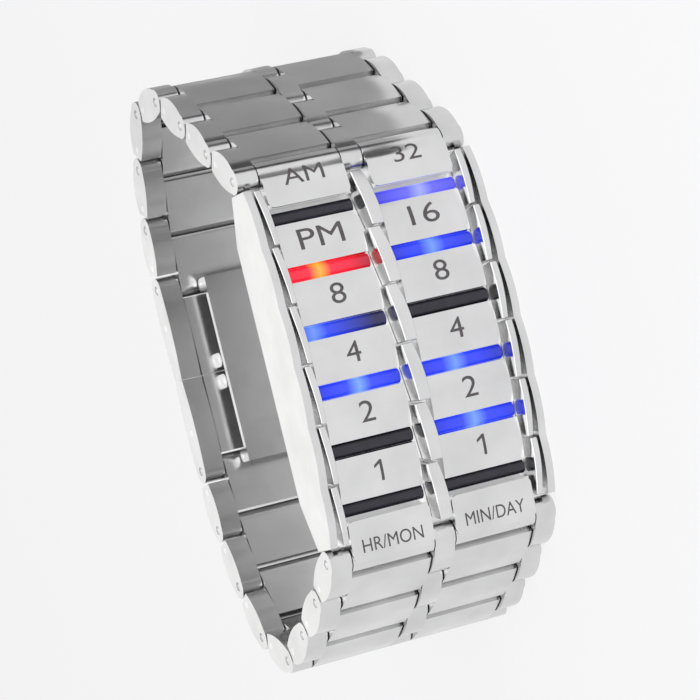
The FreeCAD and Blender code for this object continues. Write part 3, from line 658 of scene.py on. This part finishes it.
def lay(name, mesh, place, column, shift, top_at, bottom_at, material):
    """A flat mesh wrapped on a curved surface and thickened; its up is along the face."""
    work = bmesh.new()
    work.from_mesh(mesh)
    bpy.data.meshes.remove(mesh)
    bmesh.ops.remove_doubles(work, verts=work.verts, dist=SAME_PLACE)
    bmesh.ops.triangulate(work, faces=work.faces[:])
    heights = [vert.co.y for vert in work.verts]
    level = min(heights) + CUT_STEP
    while level < max(heights):
        everything = work.verts[:] + work.edges[:] + work.faces[:]
        bmesh.ops.bisect_plane(work, geom=everything, plane_co=(0, level, 0),
                               plane_no=(0, 1, 0))
        level += CUT_STEP
    bmesh.ops.solidify(work, geom=work.faces[:], thickness=ROUGH_THICKNESS)
    top = max(vert.co.z for vert in work.verts)
    for vert in work.verts:
        along = vert.co.y + shift
        x, y, normal = place(along)
        upper = abs(vert.co.z - top) < SAME_LEVEL
        lift = top_at(along) if upper else bottom_at(along)
        across = column - vert.co.x
        vert.co = Vector((x + normal[0] * lift, y + normal[1] * lift, across)) * MM
    bmesh.ops.recalc_face_normals(work, faces=work.faces[:])
    final = bpy.data.meshes.new(name)
    work.to_mesh(final)
    work.free()
    final.materials.append(material)
    piece = bpy.data.objects.new(name, final)
    scene.collection.objects.link(piece)
    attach(piece, "head")
    return piece


def bare(along):
    """The CAD's own surface."""
    return 0.0


def add_letters(name, text, place, column, shift, width, height, base_at=bare):
    """Dark letters on a surface that lies base_at above the CAD's."""
    lay(name, letter_mesh(text, width, height), place, column, shift,
        lambda along: base_at(along) + INK_HEIGHT,
        lambda along: base_at(along) - INK_SINK, INK)


LUG_START = 17.65
LUG_END = 21.7
LUG_END_DEPTH = 2.4
LUG_ROUND = 1.5


def lug_surface(side):
    """Maps distance along an end plate from its first edge to a place on it."""
    y_start = arc_y(LUG_START)
    length = math.hypot(LUG_END - LUG_START, LUG_END_DEPTH - y_start)
    slope = ((LUG_END - LUG_START) / length, (LUG_END_DEPTH - y_start) / length)

    def place(along):
        out = min(along * side, length)
        beyond = max(along * side - length, 0.0) / LUG_ROUND
        x = LUG_START + slope[0] * out + LUG_ROUND * math.sin(beyond)
        y = y_start + slope[1] * out + LUG_ROUND * (1 - math.cos(beyond))
        lean = math.atan2(slope[1], slope[0]) + beyond
        return x * side, y, (math.sin(lean) * side, -math.cos(lean))
    return place


PAD_HEIGHT = 0.42
PAD_FLAT = 3.25
PAD_FALL = 1.1
PAD_END = 0.02
PAD_SINK = 0.05
PAD_START = 0.05
PAD_WIDTH = 10.0
PAD_CORNER = 0.7
PAD_EDGE = 0.08
PAD_EDGE_ANGLE = math.radians(50)
PAD_EDGE_STEPS = 2
CORNER_STEPS = 6


def pad_lift(along):
    """The upper pad's height: flat first, then falling in a straight slope."""
    beyond = min(max((abs(along) - PAD_FLAT) / PAD_FALL, 0.0), 1.0)
    return PAD_HEIGHT * (1.0 - beyond) + PAD_END


def pad_flat(along):
    """The lower pad's height."""
    return PAD_HEIGHT


def pad_outline(width, length, radius):
    """A flat plate with rounded corners, from the origin upward, as a mesh."""
    points = []
    centres = [(1, 0), (1, 1), (0, 1), (0, 0)]
    for corner, (right, far) in enumerate(centres):
        x = (width / 2 - radius) * (1 if right else -1)
        y = length - radius if far else radius
        for step in range(CORNER_STEPS + 1):
            angle = math.radians(-90 + 90 * corner + 90 / CORNER_STEPS * step)
            points.append((x + radius * math.cos(angle), y + radius * math.sin(angle), 0.0))
    mesh = bpy.data.meshes.new("pad")
    mesh.from_pydata(points, [], [range(len(points))])
    return mesh


def add_pad(name, side, column, length):
    """A raised plate on an end of the case."""
    mesh = pad_outline(PAD_WIDTH, length, PAD_CORNER)
    shift = PAD_START if side > 0 else -PAD_START - length
    lift = pad_lift if side > 0 else pad_flat
    pad = lay(name, mesh, lug_surface(side), column, shift, lift, lambda along: -PAD_SINK,
              MATERIALS["steel_plate"])
    pad.data.shade_smooth()
    pad.data.set_sharp_from_angle(angle=SHARP_ANGLE)
    soften(pad, PAD_EDGE, PAD_EDGE_ANGLE, PAD_EDGE_STEPS)


DIGIT_HEIGHT = 2.35
DIGIT_SHIFT = 0.35
# Column, row, text, its width
LABELS = [
    ("left", 2, "PM", 5.4), ("left", 1, "8", 1.75), ("left", 0, "4", 1.75),
    ("left", -1, "2", 1.7), ("left", -2, "1", 1.0),
    ("right", 2, "16", 3.6), ("right", 1, "8", 1.75), ("right", 0, "4", 1.75),
    ("right", -1, "2", 1.7), ("right", -2, "1", 1.0),
]
for side, row, text, width in LABELS:
    add_letters("letters_" + side + "_row" + str(row + 3), text, plate_surface(row),
                COLUMNS[side], DIGIT_SHIFT, width, DIGIT_HEIGHT)
# Name, which end, column, text, its place along the end, width and height, the pad's length
ENDS = [
    ("left_upper", 1, COLUMN_LEFT, "AM", 3.2, 4.9, 1.9, 4.6),
    ("right_upper", 1, COLUMN_RIGHT, "32", 3.2, 3.4, 1.9, 4.6),
    ("left_lower", -1, COLUMN_LEFT, "HR/MON", 3.0, 7.4, 1.5, 4.5),
    ("right_lower", -1, COLUMN_RIGHT, "MIN/DAY", 3.0, 7.4, 1.5, 4.5),
]
for name, side, column, text, along, width, height, length in ENDS:
    add_pad("pad_" + name, side, column, length)
    add_letters("letters_" + name, text, lug_surface(side), column, along * side, width,
                height, pad_lift if side > 0 else pad_flat)
